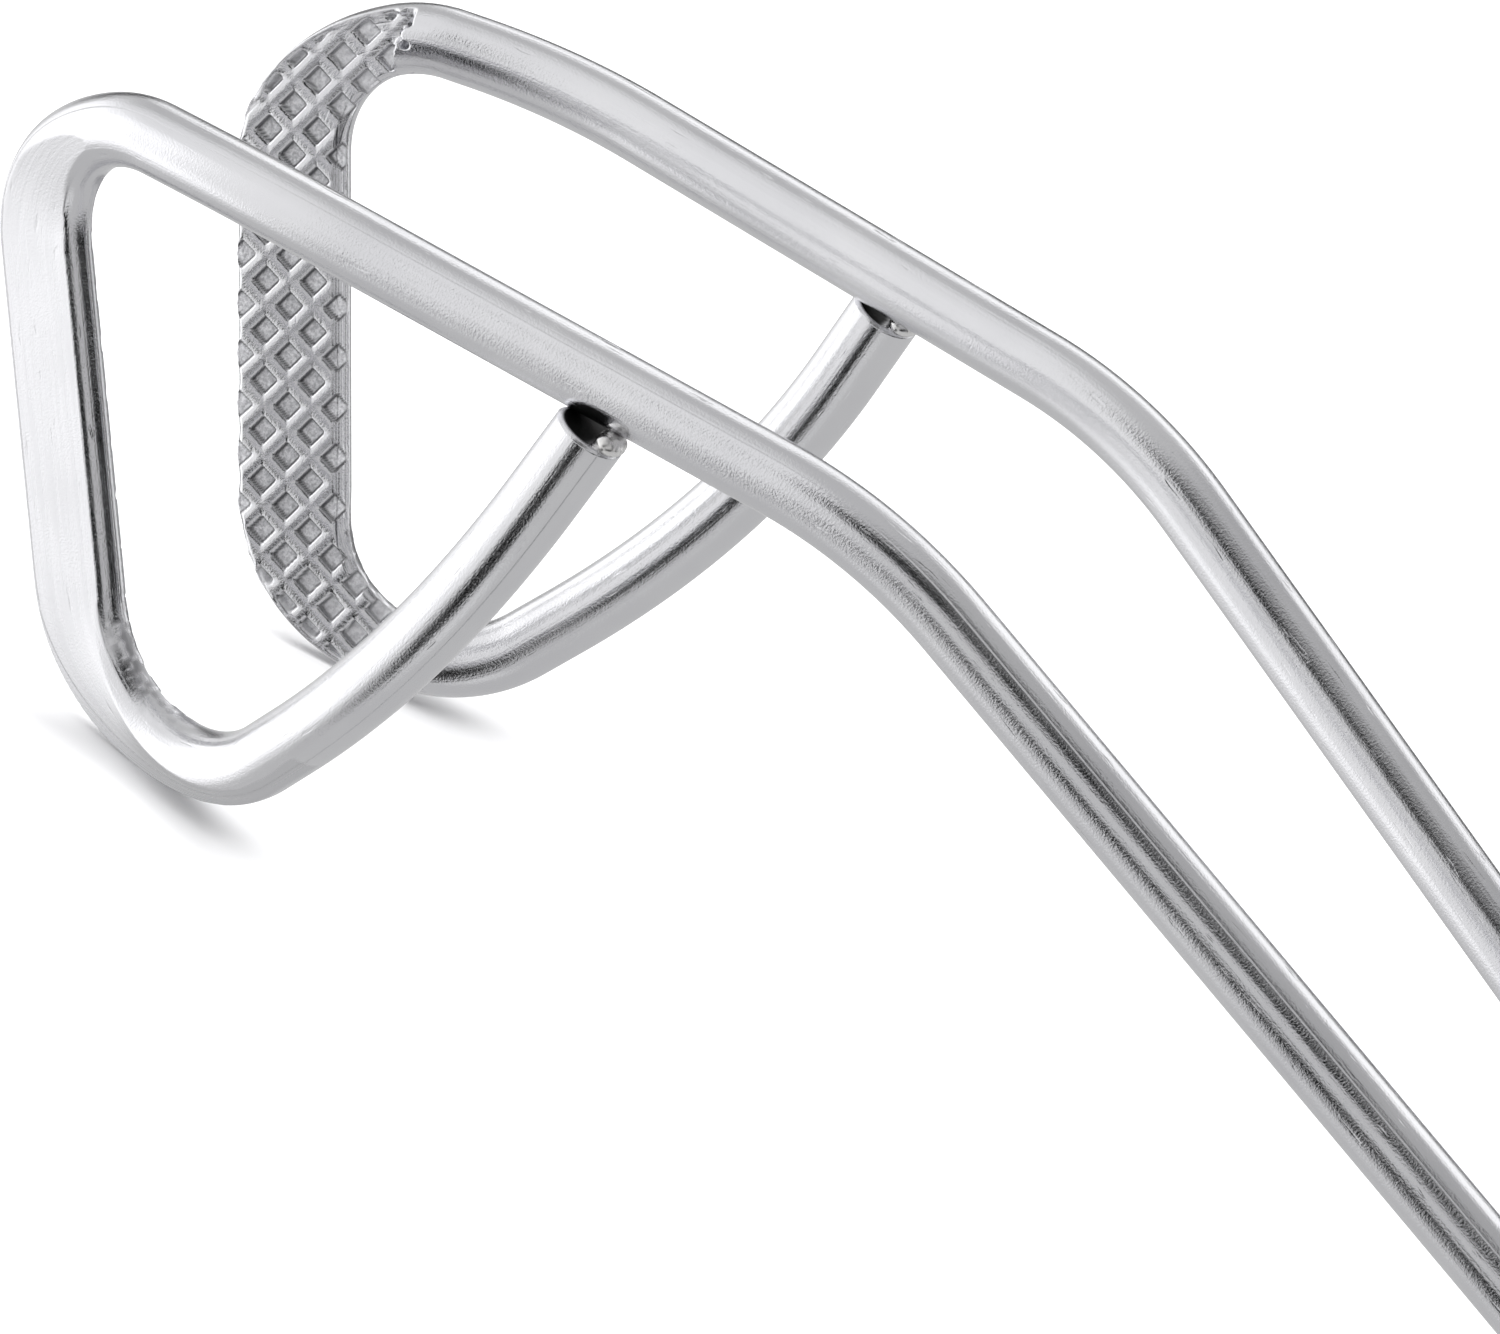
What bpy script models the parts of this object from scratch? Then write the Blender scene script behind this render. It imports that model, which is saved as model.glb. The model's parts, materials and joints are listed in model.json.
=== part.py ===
"""Hinged stainless steel frame grip, for lifting comb frames out of a beehive.

Two mirrored halves are bent from round rod. Each rod starts at a square-cut strut end, runs down the
strut, round a corner, up the jaw bar, round a second corner and back along the arm and the leg to an
eye. The jaw bar and the eye are pressed flat. A weld bead closes each loop where the strut end meets
the arm. A rivet joins the two eyes, and a torsion spring between them opens the jaws.

X is across the grip, the jaws are at -Y, the hinge is at +Y and +Z is up. The halves are drawn with
the jaw bars upright, and the whole grip is then tipped back about X until it stands on its two loops
and the rivet's lower head. The origin is under the middle of its box.
"""

import math

import bmesh
import bpy
from mathutils import Matrix, Vector

MM = 0.001
UP = Vector((0.0, 0.0, 1.0))
ACROSS = Vector((1.0, 0.0, 0.0))

# Rod
ROD_RADIUS = 4.0 * MM
STRUT_END_CHAMFER = 0.35 * MM
RING_POINTS = 24                 # points round the rod, a multiple of 8
PATH_STEP = 1.0 * MM
SMALLEST_GAP = 0.3 * MM          # left between pieces that touch

# Left half's centreline: corners joined by bends, with the jaw bar upright
STRUT_END = Vector((33.0, 70.1, 55.0)) * MM
STRUT_CORNER, STRUT_BEND = Vector((35.0, 50.2, 30.0)) * MM, 98.0 * MM
BAR_BOTTOM, BOTTOM_BEND = Vector((20.3, 0.0, 0.0)) * MM, 17.8 * MM
BAR_TOP, TOP_BEND = Vector((27.4, 0.0, 88.4)) * MM, 14.6 * MM
ARM_CRANK, CRANK_BEND = Vector((33.2, 31.1, 78.6)) * MM, 85.0 * MM
LEG_CORNER, LEG_BEND = Vector((29.3, 101.6, 46.3)) * MM, 56.7 * MM
LEG_DROP = math.radians(48.9)    # how steeply the leg falls from the level arm
LEG_CLOSING = 0.084              # how fast the leg nears the middle plane, per unit of length
LEG_LENGTH = 126.0 * MM          # from the leg's corner to the bend towards the hinge
EYE_APPROACH = math.radians(52.0)
EYE_BEND = 25.0 * MM

# Pressed jaw bar
JAW_THICKNESS = 3.8 * MM
JAW_FACE_WIDTH = 13.0 * MM
JAW_BACK_WIDTH = 10.0 * MM
JAW_EDGE_BULGE = 0.1 * MM
JAW_TOE = 0.22                   # how much wider the jaws stand towards the arm, per unit of length
BOTTOM_FADE = -0.05, 0.7         # parts of the bottom bend where the press starts and ends its fade
TOP_FADE = 0.0, 0.75

# Hinge
EYE_RADIUS = 8.0 * MM
EYE_THICKNESS = 3.6 * MM
EYE_NECK_WIDTH = 10.4 * MM
EYE_FADE_START = 19.0 * MM       # distances from the hinge axis
EYE_FADE_END = 9.5 * MM
EYE_GAP = 7.0 * MM
RIVET_RADIUS = 3.0 * MM
RIVET_HOLE_RADIUS = 3.3 * MM
RIVET_HEAD_RADIUS = 6.0 * MM
RIVET_HEAD_HEIGHT = 2.6 * MM
WASHER_RADIUS = 7.0 * MM
WASHER_THICKNESS = 1.2 * MM
SLEEVE_RADIUS = 4.5 * MM

# Torsion spring
WIRE_RADIUS = 0.75 * MM
COIL_RADIUS = 6.0 * MM
COIL_PITCH = 1.8 * MM
COIL_EXTRA_TURNS = 2
SPRING_NECK_LENGTH = 14.0 * MM   # where each leg leaves the coil between the eyes
SPRING_NECK_SPREAD = math.radians(4.0)
SPRING_LEG_LENGTH = 27.0 * MM
SPRING_LEG_SPREAD = math.radians(17.0)

# Weld bead
BEAD_HALF_LENGTH = 2.5 * MM
BEAD_RADIUS = 1.3 * MM
BEAD_TURN = math.radians(58.0)   # how far round the arm the bead lies, from the strut end inwards
BEAD_AHEAD = 1.0 * MM

EYE_LEVEL = (EYE_GAP + EYE_THICKNESS) / 2
LEG_DIRECTION = Vector((-LEG_CLOSING, math.cos(LEG_DROP), -math.sin(LEG_DROP))).normalized()
BACK_ALONG_LEG = Vector((0.0, math.cos(LEG_DROP), -math.sin(LEG_DROP)))
HINGE_AXIS = ACROSS.cross(BACK_ALONG_LEG)
LEG_END = LEG_CORNER + LEG_DIRECTION * LEG_LENGTH
HINGE_CENTRE = Vector((0.0, LEG_END.y, LEG_END.z)) + BACK_ALONG_LEG * (LEG_END.x / math.tan(EYE_APPROACH))
JAW_CENTRE = (BAR_BOTTOM + BAR_TOP) / 2
JAW_NORMAL = Vector((JAW_TOE, 1.0, 0.0)).cross(BAR_TOP - BAR_BOTTOM).normalized()


def mirrored(vector, side):
    """The vector for the left half (side 1) or the right half (side -1)."""
    return Vector((vector.x * side, vector.y, vector.z))


def smooth_step(value):
    value = min(max(value, 0.0), 1.0)
    return value * value * (3.0 - 2.0 * value)


def faded(part, fade):
    """1 before the fade, 0 after it, for a position given as a part of a bend."""
    return smooth_step((fade[1] - part) / (fade[1] - fade[0]))


def bend_points(before, corner, after, radius):
    """Points round the arc that replaces a corner between two straight runs."""
    arriving = (before - corner).normalized()
    leaving = (after - corner).normalized()
    half_angle = arriving.angle(leaving) / 2
    middle = corner + (arriving + leaving).normalized() * (radius / math.sin(half_angle))
    start = corner + arriving * (radius / math.tan(half_angle))
    turn = math.pi - 2 * half_angle
    axis = arriving.cross(leaving).normalized()
    count = max(4, round(radius * turn / PATH_STEP))
    spoke = start - middle
    return [middle + Matrix.Rotation(-turn * i / count, 3, axis) @ spoke for i in range(count + 1)]


def rod_centreline(side):
    """Closely spaced points from the strut end to the far edge of the eye, and where each bend lies."""
    hinge_run = (HINGE_CENTRE - LEG_END).normalized()
    corners = [STRUT_END, STRUT_CORNER, BAR_BOTTOM, BAR_TOP, ARM_CRANK, LEG_CORNER, LEG_END,
               HINGE_CENTRE + hinge_run * EYE_RADIUS]
    bends = [STRUT_BEND, BOTTOM_BEND, TOP_BEND, CRANK_BEND, LEG_BEND, EYE_BEND]
    points = [corners[0]]
    spans = []
    for i, radius in enumerate(bends):
        arc = bend_points(corners[i], corners[i + 1], corners[i + 2], radius)
        points += straight_points(points[-1], arc[0])
        spans.append((len(points) - 1, len(points) + len(arc) - 2))
        points += arc[1:]
    points += straight_points(points[-1], corners[-1])
    return [mirrored(point, side) for point in points], spans


def straight_points(start, end):
    """Points along a straight run, without its start."""
    count = max(1, round((end - start).length / PATH_STEP))
    return [start.lerp(end, i / count) for i in range(1, count + 1)]


def jaw_outline(turn):
    """Pressed jaw section: depth (back face positive) and width, for a turn round the rod in eighths."""
    half_depth = JAW_THICKNESS / 2
    half_back = JAW_BACK_WIDTH / 2
    half_face = JAW_FACE_WIDTH / 2
    if turn <= 1 or turn >= 7:
        return half_depth, half_back * (turn if turn <= 1 else turn - 8)
    if 3 <= turn <= 5:
        return -half_depth, half_face * (4 - turn)
    along = (turn - 1) / 2 if turn < 3 else (7 - turn) / 2
    bulge = JAW_EDGE_BULGE * math.sin(math.pi * along)
    width = half_back + (half_face - half_back) * along + bulge
    return half_depth * (1 - 2 * along), width if turn < 3 else -width


def eye_outline(turn, half_width):
    """Pressed eye section: width and depth, for a turn round the rod in eighths."""
    half_depth = EYE_THICKNESS / 2
    corner_width = half_width - min(0.2 * EYE_THICKNESS, half_width / 2)
    if 1 <= turn <= 3:
        return corner_width * (2 - turn), half_depth
    if 5 <= turn <= 7:
        return corner_width * (turn - 6), -half_depth
    off_middle = turn - 4 if 3 < turn < 5 else (turn if turn <= 1 else turn - 8)
    width = corner_width + (half_width - corner_width) * math.cos(off_middle * math.pi / 2)
    if 3 < turn < 5:
        return -width, -half_depth * off_middle
    return width, half_depth * off_middle


def eye_half_width(distance_from_axis):
    """Half the eye's width on the way in (positive distance) and round its far edge (negative)."""
    disc = math.sqrt(max(EYE_RADIUS ** 2 - distance_from_axis ** 2, 0.0))
    return disc if distance_from_axis < 0 else max(disc, EYE_NECK_WIDTH / 2)


def on_plane(point, plane_point, normal):
    return point - normal * (point - plane_point).dot(normal)


def rod_rings(side):
    """Rings of points along a rod: round, but pressed flat at the jaw bar and the eye."""
    path, spans = rod_centreline(side)
    lengths = [0.0]
    for before, after in zip(path, path[1:]):
        lengths.append(lengths[-1] + (after - before).length)
    bottom, top = spans[1], spans[2]
    bottom_arc = lengths[bottom[1]] - lengths[bottom[0]]
    top_arc = lengths[top[1]] - lengths[top[0]]
    axis_length = lengths[-1] - EYE_RADIUS

    jaw_normal = mirrored(JAW_NORMAL, side)
    jaw_centre = mirrored(JAW_CENTRE, side)
    eye_centre = HINGE_CENTRE + HINGE_AXIS * EYE_LEVEL * side
    rings = []
    kept = None
    for i, centre in enumerate(path):
        tangent = (path[min(i + 1, len(path) - 1)] - path[max(i - 1, 0)]).normalized()
        to_axis = axis_length - lengths[i]
        into_bottom = (lengths[bottom[1]] - lengths[i]) / bottom_arc
        into_top = (lengths[i] - lengths[top[0]]) / top_arc
        jaw = min(faded(into_bottom, BOTTOM_FADE), faded(into_top, TOP_FADE))
        eye = smooth_step((EYE_FADE_START - to_axis) / (EYE_FADE_START - EYE_FADE_END))
        half_width = eye_half_width(to_axis) if eye else 0.0
        if to_axis < -0.96 * EYE_RADIUS:
            break
        state = (tangent, jaw, eye, half_width)
        if kept and i and not station_needed(kept, state):
            spare = (centre, tangent, jaw, eye, half_width, lengths[i])
            continue
        if kept and spare and spare[5] - kept_length > 6 * PATH_STEP:
            rings.append(section(spare, side, jaw_centre, jaw_normal, eye_centre))
        rings.append(section((centre, tangent, jaw, eye, half_width, lengths[i]), side,
                             jaw_centre, jaw_normal, eye_centre))
        kept, kept_length, spare = state, lengths[i], None
    if spare:
        rings.append(section(spare, side, jaw_centre, jaw_normal, eye_centre))
    return rings


def station_needed(kept, state):
    """Whether the section has changed enough since the last kept ring to need another."""
    turned = kept[0].angle(state[0]) > math.radians(8.0)
    pressed = abs(kept[1] - state[1]) > 0.12 or abs(kept[2] - state[2]) > 0.12
    return turned or pressed or abs(kept[3] - state[3]) > 0.7 * MM


def section(station, side, jaw_centre, jaw_normal, eye_centre):
    """One ring: the round section, the pressed jaw and the pressed eye, mixed by their weights."""
    centre, tangent, jaw, eye, half_width, length = station
    across = ACROSS * side
    across = (across - tangent * across.dot(tangent)).normalized()
    sideways = tangent.cross(across)
    radius = ROD_RADIUS - max(0.0, STRUT_END_CHAMFER - length)
    jaw_middle = on_plane(centre, jaw_centre, jaw_normal)
    jaw_sideways = tangent.cross(jaw_normal).normalized()
    eye_normal = HINGE_AXIS if sideways.dot(HINGE_AXIS) > 0 else -HINGE_AXIS
    eye_middle = on_plane(centre, eye_centre, eye_normal)
    eye_across = eye_normal.cross(tangent).normalized()
    ring = []
    for k in range(RING_POINTS):
        angle = 2 * math.pi * k / RING_POINTS
        turn = 8 * k / RING_POINTS
        round_point = centre + (across * math.cos(angle) + sideways * math.sin(angle)) * radius
        point = round_point * (1 - jaw - eye)
        if jaw:
            depth, width = jaw_outline(turn)
            point += (jaw_middle + jaw_normal * depth + jaw_sideways * width) * jaw
        if eye:
            width, depth = eye_outline(turn, half_width)
            point += (eye_middle + eye_across * width + eye_normal * depth) * eye
        ring.append(point if jaw or eye else round_point)
    return ring


def loft(name, rings):
    """A closed body through rings of points, capped at both ends."""
    mesh = bpy.data.meshes.new(name)
    body = bmesh.new()
    loops = [[body.verts.new(point) for point in ring] for ring in rings]
    for first, second in zip(loops, loops[1:]):
        for k in range(len(first)):
            after = (k + 1) % len(first)
            body.faces.new((first[k], first[after], second[after], second[k]))
    body.faces.new(loops[0][::-1])
    body.faces.new(loops[-1])
    body.to_mesh(mesh)
    body.free()
    return mesh


def metal(name, colour, roughness):
    material = bpy.data.materials.new(name)
    material.use_nodes = True
    shader = material.node_tree.nodes["Principled BSDF"]
    shader.inputs["Base Color"].default_value = (*colour, 1.0)
    shader.inputs["Metallic"].default_value = 1.0
    shader.inputs["Roughness"].default_value = roughness
    return material


def add_part(mesh, material, parent, matrix=None):
    """Put a mesh in the grip's collection, smooth-shaded, at a place in the upright frame."""
    part = bpy.data.objects.new(mesh.name, mesh)
    mesh.materials.clear()
    mesh.materials.append(material)
    mesh.shade_smooth()
    mesh.set_sharp_from_angle(angle=math.radians(35.0))
    bpy.data.collections["frame_grip"].objects.link(part)
    part.parent = parent
    part.matrix_local = parent_offset(parent) @ (matrix or Matrix.Identity(4))
    return part


def parent_offset(parent):
    """What takes a place in the upright frame to a place under this empty."""
    return Matrix.Identity(4) if parent.parent is None else parent.matrix_local.inverted()


def hinge_matrix(level=0.0):
    """Local Z along the hinge axis and local X across the grip, at a level along the axis."""
    turned = Matrix((ACROSS, HINGE_AXIS.cross(ACROSS), HINGE_AXIS)).transposed()
    return Matrix.Translation(HINGE_CENTRE + HINGE_AXIS * level) @ turned.to_4x4()


def turned_mesh(name, profile, closed=False):
    """A mesh turned about Z from (radius, height) points that run down the outer side."""
    outline = bpy.data.meshes.new(name + "_profile")
    edges = [(i, i + 1) for i in range(len(profile) - 1)]
    if closed:
        edges.append((len(profile) - 1, 0))
    outline.from_pydata([(radius, 0.0, height) for radius, height in profile], edges, [])
    guide = bpy.data.objects.new(name + "_profile", outline)
    bpy.context.scene.collection.objects.link(guide)
    screw = guide.modifiers.new("turn", "SCREW")
    screw.steps = screw.render_steps = 32
    screw.use_merge_vertices = True
    screw.merge_threshold = 0.00001
    return evaluated_mesh(guide, name)


def evaluated_mesh(guide, name):
    """The object's mesh after its modifiers, with the object itself removed."""
    graph = bpy.context.evaluated_depsgraph_get()
    mesh = bpy.data.meshes.new_from_object(guide.evaluated_get(graph))
    bpy.data.objects.remove(guide)
    body = bmesh.new()
    body.from_mesh(mesh)
    bmesh.ops.remove_doubles(body, verts=body.verts, dist=0.00001)
    body.to_mesh(mesh)
    body.free()
    mesh.name = name
    return mesh


def add_rod(name, side, steel, parent):
    """One half's rod, with the rivet's hole through its eye."""
    rod = add_part(loft(name, rod_rings(side)), steel, parent)
    bpy.ops.mesh.primitive_cylinder_add(vertices=32, radius=RIVET_HOLE_RADIUS, depth=3 * EYE_THICKNESS)
    cutter = bpy.context.object
    cutter.name = name + "_hole_cutter"
    for collection in cutter.users_collection:
        collection.objects.unlink(cutter)
    bpy.data.collections["cutters"].objects.link(cutter)
    cutter.parent = parent
    cutter.matrix_local = parent_offset(parent) @ hinge_matrix(EYE_LEVEL * side)
    cutter.hide_render = True
    cutter.display_type = "WIRE"
    hole = rod.modifiers.new("rivet_hole", "BOOLEAN")
    hole.operation = "DIFFERENCE"
    hole.solver = "EXACT"
    hole.object = cutter
    return rod


def add_weld(name, side, steel, parent):
    """A bead in the inner corner between the strut end and the underside of the arm."""
    arm_run = (LEG_CORNER - ARM_CRANK).normalized()
    nearest = ARM_CRANK + arm_run * (STRUT_END - ARM_CRANK).dot(arm_run)
    to_strut = (STRUT_END - nearest).normalized()
    inwards = arm_run.cross(to_strut).normalized()
    if inwards.x > 0:
        inwards.negate()
    outwards = to_strut * math.cos(BEAD_TURN) + inwards * math.sin(BEAD_TURN)
    place = nearest + outwards * (ROD_RADIUS + BEAD_RADIUS + SMALLEST_GAP) - arm_run * BEAD_AHEAD
    bead = bmesh.new()
    bmesh.ops.create_uvsphere(bead, u_segments=16, v_segments=8, radius=BEAD_RADIUS)
    mesh = bpy.data.meshes.new(name)
    bead.to_mesh(mesh)
    bead.free()
    mesh.transform(Matrix.Diagonal((BEAD_HALF_LENGTH / BEAD_RADIUS, 1.0, 1.0, 1.0)))
    turned = Matrix((arm_run, outwards, arm_run.cross(outwards))).transposed().to_4x4()
    mesh.transform(Matrix.Translation(place) @ turned)
    if side < 0:
        mesh.transform(Matrix.Scale(-1.0, 4, ACROSS))
        mesh.flip_normals()
    return add_part(mesh, steel, parent)


def add_rivet(steel, parent):
    """Shank with a domed head at each end."""
    seat = EYE_GAP / 2 + EYE_THICKNESS + WASHER_THICKNESS + 2 * SMALLEST_GAP
    steps = 6
    dome = []
    for i in range(steps + 1):
        angle = math.pi / 2 * (1 - i / steps)
        dome.append((RIVET_HEAD_RADIUS * math.cos(angle), seat + RIVET_HEAD_HEIGHT * math.sin(angle)))
    dome[0] = (0.0, seat + RIVET_HEAD_HEIGHT)
    profile = dome + [(RIVET_RADIUS, seat), (RIVET_RADIUS, -seat)]
    profile += [(radius, -height) for radius, height in reversed(dome)]
    return add_part(turned_mesh("hinge_rivet", profile), steel, parent, hinge_matrix())


def add_ring(name, steel, parent, inner, outer, bottom, top):
    """A flat washer or a sleeve on the hinge axis."""
    profile = [(outer, top), (outer, bottom), (inner, bottom), (inner, top)]
    return add_part(turned_mesh(name, profile, closed=True), steel, parent, hinge_matrix())


def away_from_coil(spread, length):
    """A run of a spring leg towards the jaws, turned outwards by its spread."""
    return Vector((math.sin(spread), -math.cos(spread), 0.0)) * length


def add_spring(steel, parent):
    """Coil round the sleeve, with a bent leg along the inner side of each rod."""
    turns = COIL_EXTRA_TURNS + 0.5 - SPRING_NECK_SPREAD / math.pi
    count = math.ceil(turns * 20)
    coil = []
    for i in range(count + 1):
        angle = SPRING_NECK_SPREAD + 2 * math.pi * turns * i / count
        level = COIL_PITCH * turns * (i / count - 0.5)
        coil.append(Vector((COIL_RADIUS * math.cos(angle), COIL_RADIUS * math.sin(angle), level)))
    reach = [away_from_coil(SPRING_NECK_SPREAD, SPRING_NECK_LENGTH)]
    reach.append(reach[0] + away_from_coil(SPRING_LEG_SPREAD, SPRING_LEG_LENGTH))
    first_leg = [coil[0] + step for step in reversed(reach)]
    second_leg = [coil[-1] + mirrored(step, -1) for step in reach]
    points = first_leg + coil + second_leg
    curve = bpy.data.curves.new("torsion_spring", "CURVE")
    curve.dimensions = "3D"
    curve.bevel_depth = WIRE_RADIUS
    curve.bevel_resolution = 2
    curve.use_fill_caps = True
    spline = curve.splines.new("POLY")
    spline.points.add(len(points) - 1)
    for control, point in zip(spline.points, points):
        control.co = (*point, 1.0)
    guide = bpy.data.objects.new("torsion_spring_guide", curve)
    bpy.context.scene.collection.objects.link(guide)
    return add_part(evaluated_mesh(guide, "torsion_spring"), steel, parent, hinge_matrix())


def lowest_point(parts, tilt):
    """The lowest height of any vertex of the parts when the grip is tipped by an angle about X."""
    tipped = Matrix.Rotation(tilt, 4, "X")
    return min((tipped @ part.matrix_world @ vertex.co).z for part in parts for vertex in part.data.vertices)


def standing_tilt(loops, hinge):
    """The tilt about X at which the loops and the hinge are equally low, by halving the interval."""
    low, high = math.radians(5.0), math.radians(30.0)
    for _ in range(30):
        middle = (low + high) / 2
        if lowest_point(hinge, middle) < lowest_point(loops, middle):
            low = middle
        else:
            high = middle
    return (low + high) / 2


def stand_on_floor(tool, parts):
    """Tip the grip so that it stands, and move its box's bottom centre to the origin."""
    bpy.context.view_layer.update()
    tilt = standing_tilt([parts["left_rod"]], [parts["hinge_rivet"]])
    tool.matrix_local = Matrix.Rotation(tilt, 4, "X")
    bpy.context.view_layer.update()
    corners = [part.matrix_world @ vertex.co for part in parts.values() for vertex in part.data.vertices]
    middle = (min(c.y for c in corners) + max(c.y for c in corners)) / 2
    floor = min(c.z for c in corners)
    tool.matrix_local = Matrix.Translation((0.0, -middle, -floor)) @ tool.matrix_local
    bpy.context.view_layer.update()


def build():
    for leftover in list(bpy.data.objects):
        bpy.data.objects.remove(leftover)
    for name in ("frame_grip", "cutters"):
        collection = bpy.data.collections.new(name)
        collection.name = name
        bpy.context.scene.collection.children.link(collection)

    tool = bpy.data.objects.new("grip_frame", None)
    hinge = bpy.data.objects.new("right_half_hinge", None)
    for empty in (tool, hinge):
        bpy.data.collections["frame_grip"].objects.link(empty)
    hinge.parent = tool
    hinge.matrix_local = hinge_matrix()

    rod_steel = metal("satin_stainless", (0.80, 0.80, 0.82), 0.28)
    weld_steel = metal("weld_bead", (0.62, 0.60, 0.58), 0.42)
    turned_steel = metal("turned_stainless", (0.74, 0.74, 0.76), 0.22)
    spring_steel = metal("spring_wire", (0.58, 0.58, 0.60), 0.30)

    eye_top = EYE_GAP / 2 + EYE_THICKNESS + SMALLEST_GAP
    parts = [
        add_rod("left_rod", 1, rod_steel, tool),
        add_rod("right_rod", -1, rod_steel, hinge),
        add_weld("left_strut_weld", 1, weld_steel, tool),
        add_weld("right_strut_weld", -1, weld_steel, hinge),
        add_rivet(turned_steel, tool),
        add_ring("upper_washer", turned_steel, tool, RIVET_HOLE_RADIUS, WASHER_RADIUS,
                 eye_top, eye_top + WASHER_THICKNESS),
        add_ring("lower_washer", turned_steel, tool, RIVET_HOLE_RADIUS, WASHER_RADIUS,
                 -eye_top - WASHER_THICKNESS, -eye_top),
        add_ring("spacer_sleeve", turned_steel, tool, RIVET_HOLE_RADIUS, SLEEVE_RADIUS,
                 SMALLEST_GAP - EYE_GAP / 2, EYE_GAP / 2 - SMALLEST_GAP),
        add_spring(spring_steel, tool),
    ]
    stand_on_floor(tool, {part.name: part for part in parts})


build()
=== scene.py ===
"""Looks of the hinged stainless frame grip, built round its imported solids.

Both rods are rebuilt at full detail along the same centreline as the solids: round, pressed flat
at the jaw bars with the cross-cut pattern, cut square at the struts and pressed into eyes at the
hinge.
"""

import json
import math

import bmesh
import bpy
import numpy as np
from mathutils import Matrix, Vector


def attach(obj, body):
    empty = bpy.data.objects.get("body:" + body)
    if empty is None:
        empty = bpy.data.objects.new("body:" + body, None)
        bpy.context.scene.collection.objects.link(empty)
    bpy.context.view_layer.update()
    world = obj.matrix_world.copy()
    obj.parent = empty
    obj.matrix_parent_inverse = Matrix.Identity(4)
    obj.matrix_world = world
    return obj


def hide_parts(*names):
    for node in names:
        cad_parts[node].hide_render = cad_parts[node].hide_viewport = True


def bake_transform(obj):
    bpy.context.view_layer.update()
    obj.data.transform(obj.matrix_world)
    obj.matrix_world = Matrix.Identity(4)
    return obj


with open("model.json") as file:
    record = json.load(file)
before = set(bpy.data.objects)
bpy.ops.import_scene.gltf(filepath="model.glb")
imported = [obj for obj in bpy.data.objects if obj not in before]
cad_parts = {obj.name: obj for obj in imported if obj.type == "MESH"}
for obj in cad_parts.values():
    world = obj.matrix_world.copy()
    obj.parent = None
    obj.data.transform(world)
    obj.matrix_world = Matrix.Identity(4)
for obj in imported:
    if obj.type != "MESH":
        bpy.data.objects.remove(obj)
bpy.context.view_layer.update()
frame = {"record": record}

MM = 0.001
TAU = 2 * math.pi


def vec(*values):
    return np.array(values, float) * MM


# Rod centreline in the upright frame, left half (the same route as the solids)
ROD_RADIUS = 4.0 * MM
STRUT_REACH = 0.7 * MM           # into the weld under the arm
STRUT_CORNER, STRUT_BEND = vec(35.0, 50.2, 30.0), 98.0 * MM
STRUT_END = vec(33.0, 70.1, 55.0)
STRUT_END += (STRUT_END - STRUT_CORNER) / np.linalg.norm(STRUT_END - STRUT_CORNER) * STRUT_REACH
BAR_BOTTOM, BOTTOM_BEND = vec(20.3, 0.0, 0.0), 17.8 * MM
BAR_TOP, TOP_BEND = vec(27.4, 0.0, 88.4), 14.6 * MM
ARM_CRANK, CRANK_BEND = vec(33.2, 31.1, 78.6), 85.0 * MM
LEG_CORNER, LEG_BEND = vec(29.3, 101.6, 46.3), 56.7 * MM
LEG_DROP = math.radians(48.9)
LEG_CLOSING = 0.084
LEG_LENGTH = 126.0 * MM
EYE_APPROACH = math.radians(52.0)
EYE_BEND = 25.0 * MM

# Pressed jaw bar. A fade is where the pressing starts to go and is gone, in lengths of the bend.
JAW_THICKNESS = 3.8 * MM
JAW_FACE_WIDTH = 13.0 * MM
JAW_BACK_WIDTH = 10.0 * MM
JAW_TOE = 0.22
BOTTOM_FADE = -0.05, 0.7
TOP_FADE = 0.0, 0.75
INNER_FACE_HALF = 5.45 * MM      # the gripping face stops short of the rounded inner side
INNER_BULGE, OUTER_BULGE = 1.25 * MM, 0.25 * MM
CORNER_INSET = 0.35 * MM         # how far a pressed corner's rounding takes the side in
SIDE_ROUNDING = 0.14, 0.16       # of the side, at the back and at the face
FLAT_ROUNDING, FLAT_DROP = 0.4 * MM, 0.14 * MM
STREAK_HEIGHT, STREAK_CELL, STREAK_SEED = 0.035 * MM, 0.11, 77

# The back flat's run-out: the die leans over as it leaves the bar, and rises clear of the rod
NEAR_BOTTOM, NEAR_TOP = 8.0 * MM, 10.0 * MM
BOTTOM_LEAN, TOP_LEAN, TOP_LEAN_RUN = math.radians(52), math.radians(10), 1.2
BOTTOM_RISE, TOP_RISE = (0.15, 0.95), (0.1, 0.8)
DIE_CLEAR = 1.04 * ROD_RADIUS
FLAT_EDGE = 0.05 * MM

# Cross-cut pattern, pressed into the gripping faces
CUT_PITCH = 4.0 * MM             # between ridges, measured square to them
PIT_SIDE = 1.85 * MM             # flat floor of a pit
PIT_WALL = 0.26 * MM             # what a pit's wall takes up in plan
PIT_DEPTH = 0.95 * MM
RIDGE_ROUNDING = 0.14            # the part of the depth that goes in rounding the ridges
WALL_SHADE = 1.2, 0.6, 0.17 * MM             # painted shade line on the pit walls: strength, place in the wall, half width
CUT_PHASE = 5.03 * MM, 0.44 * MM
CUT_SKEW = 0.0235                # the pattern sits a little askew on the bar
CUT_BEFORE, CUT_AFTER = 2.0 * MM, 6.0 * MM   # past the two bends
DIE_EDGE, DIE_RAG, DIE_SOFT = 14.5 * MM, 2.2 * MM, 1.2 * MM
GRIP_LEVEL, GRIP_SOFT = 0.6 * MM, 0.8 * MM
EDGE_TAPER = 0.7 * MM            # over which the ridges run down to the floor at the edges
TAPER_DEPTH = 0.95 * PIT_DEPTH
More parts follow.
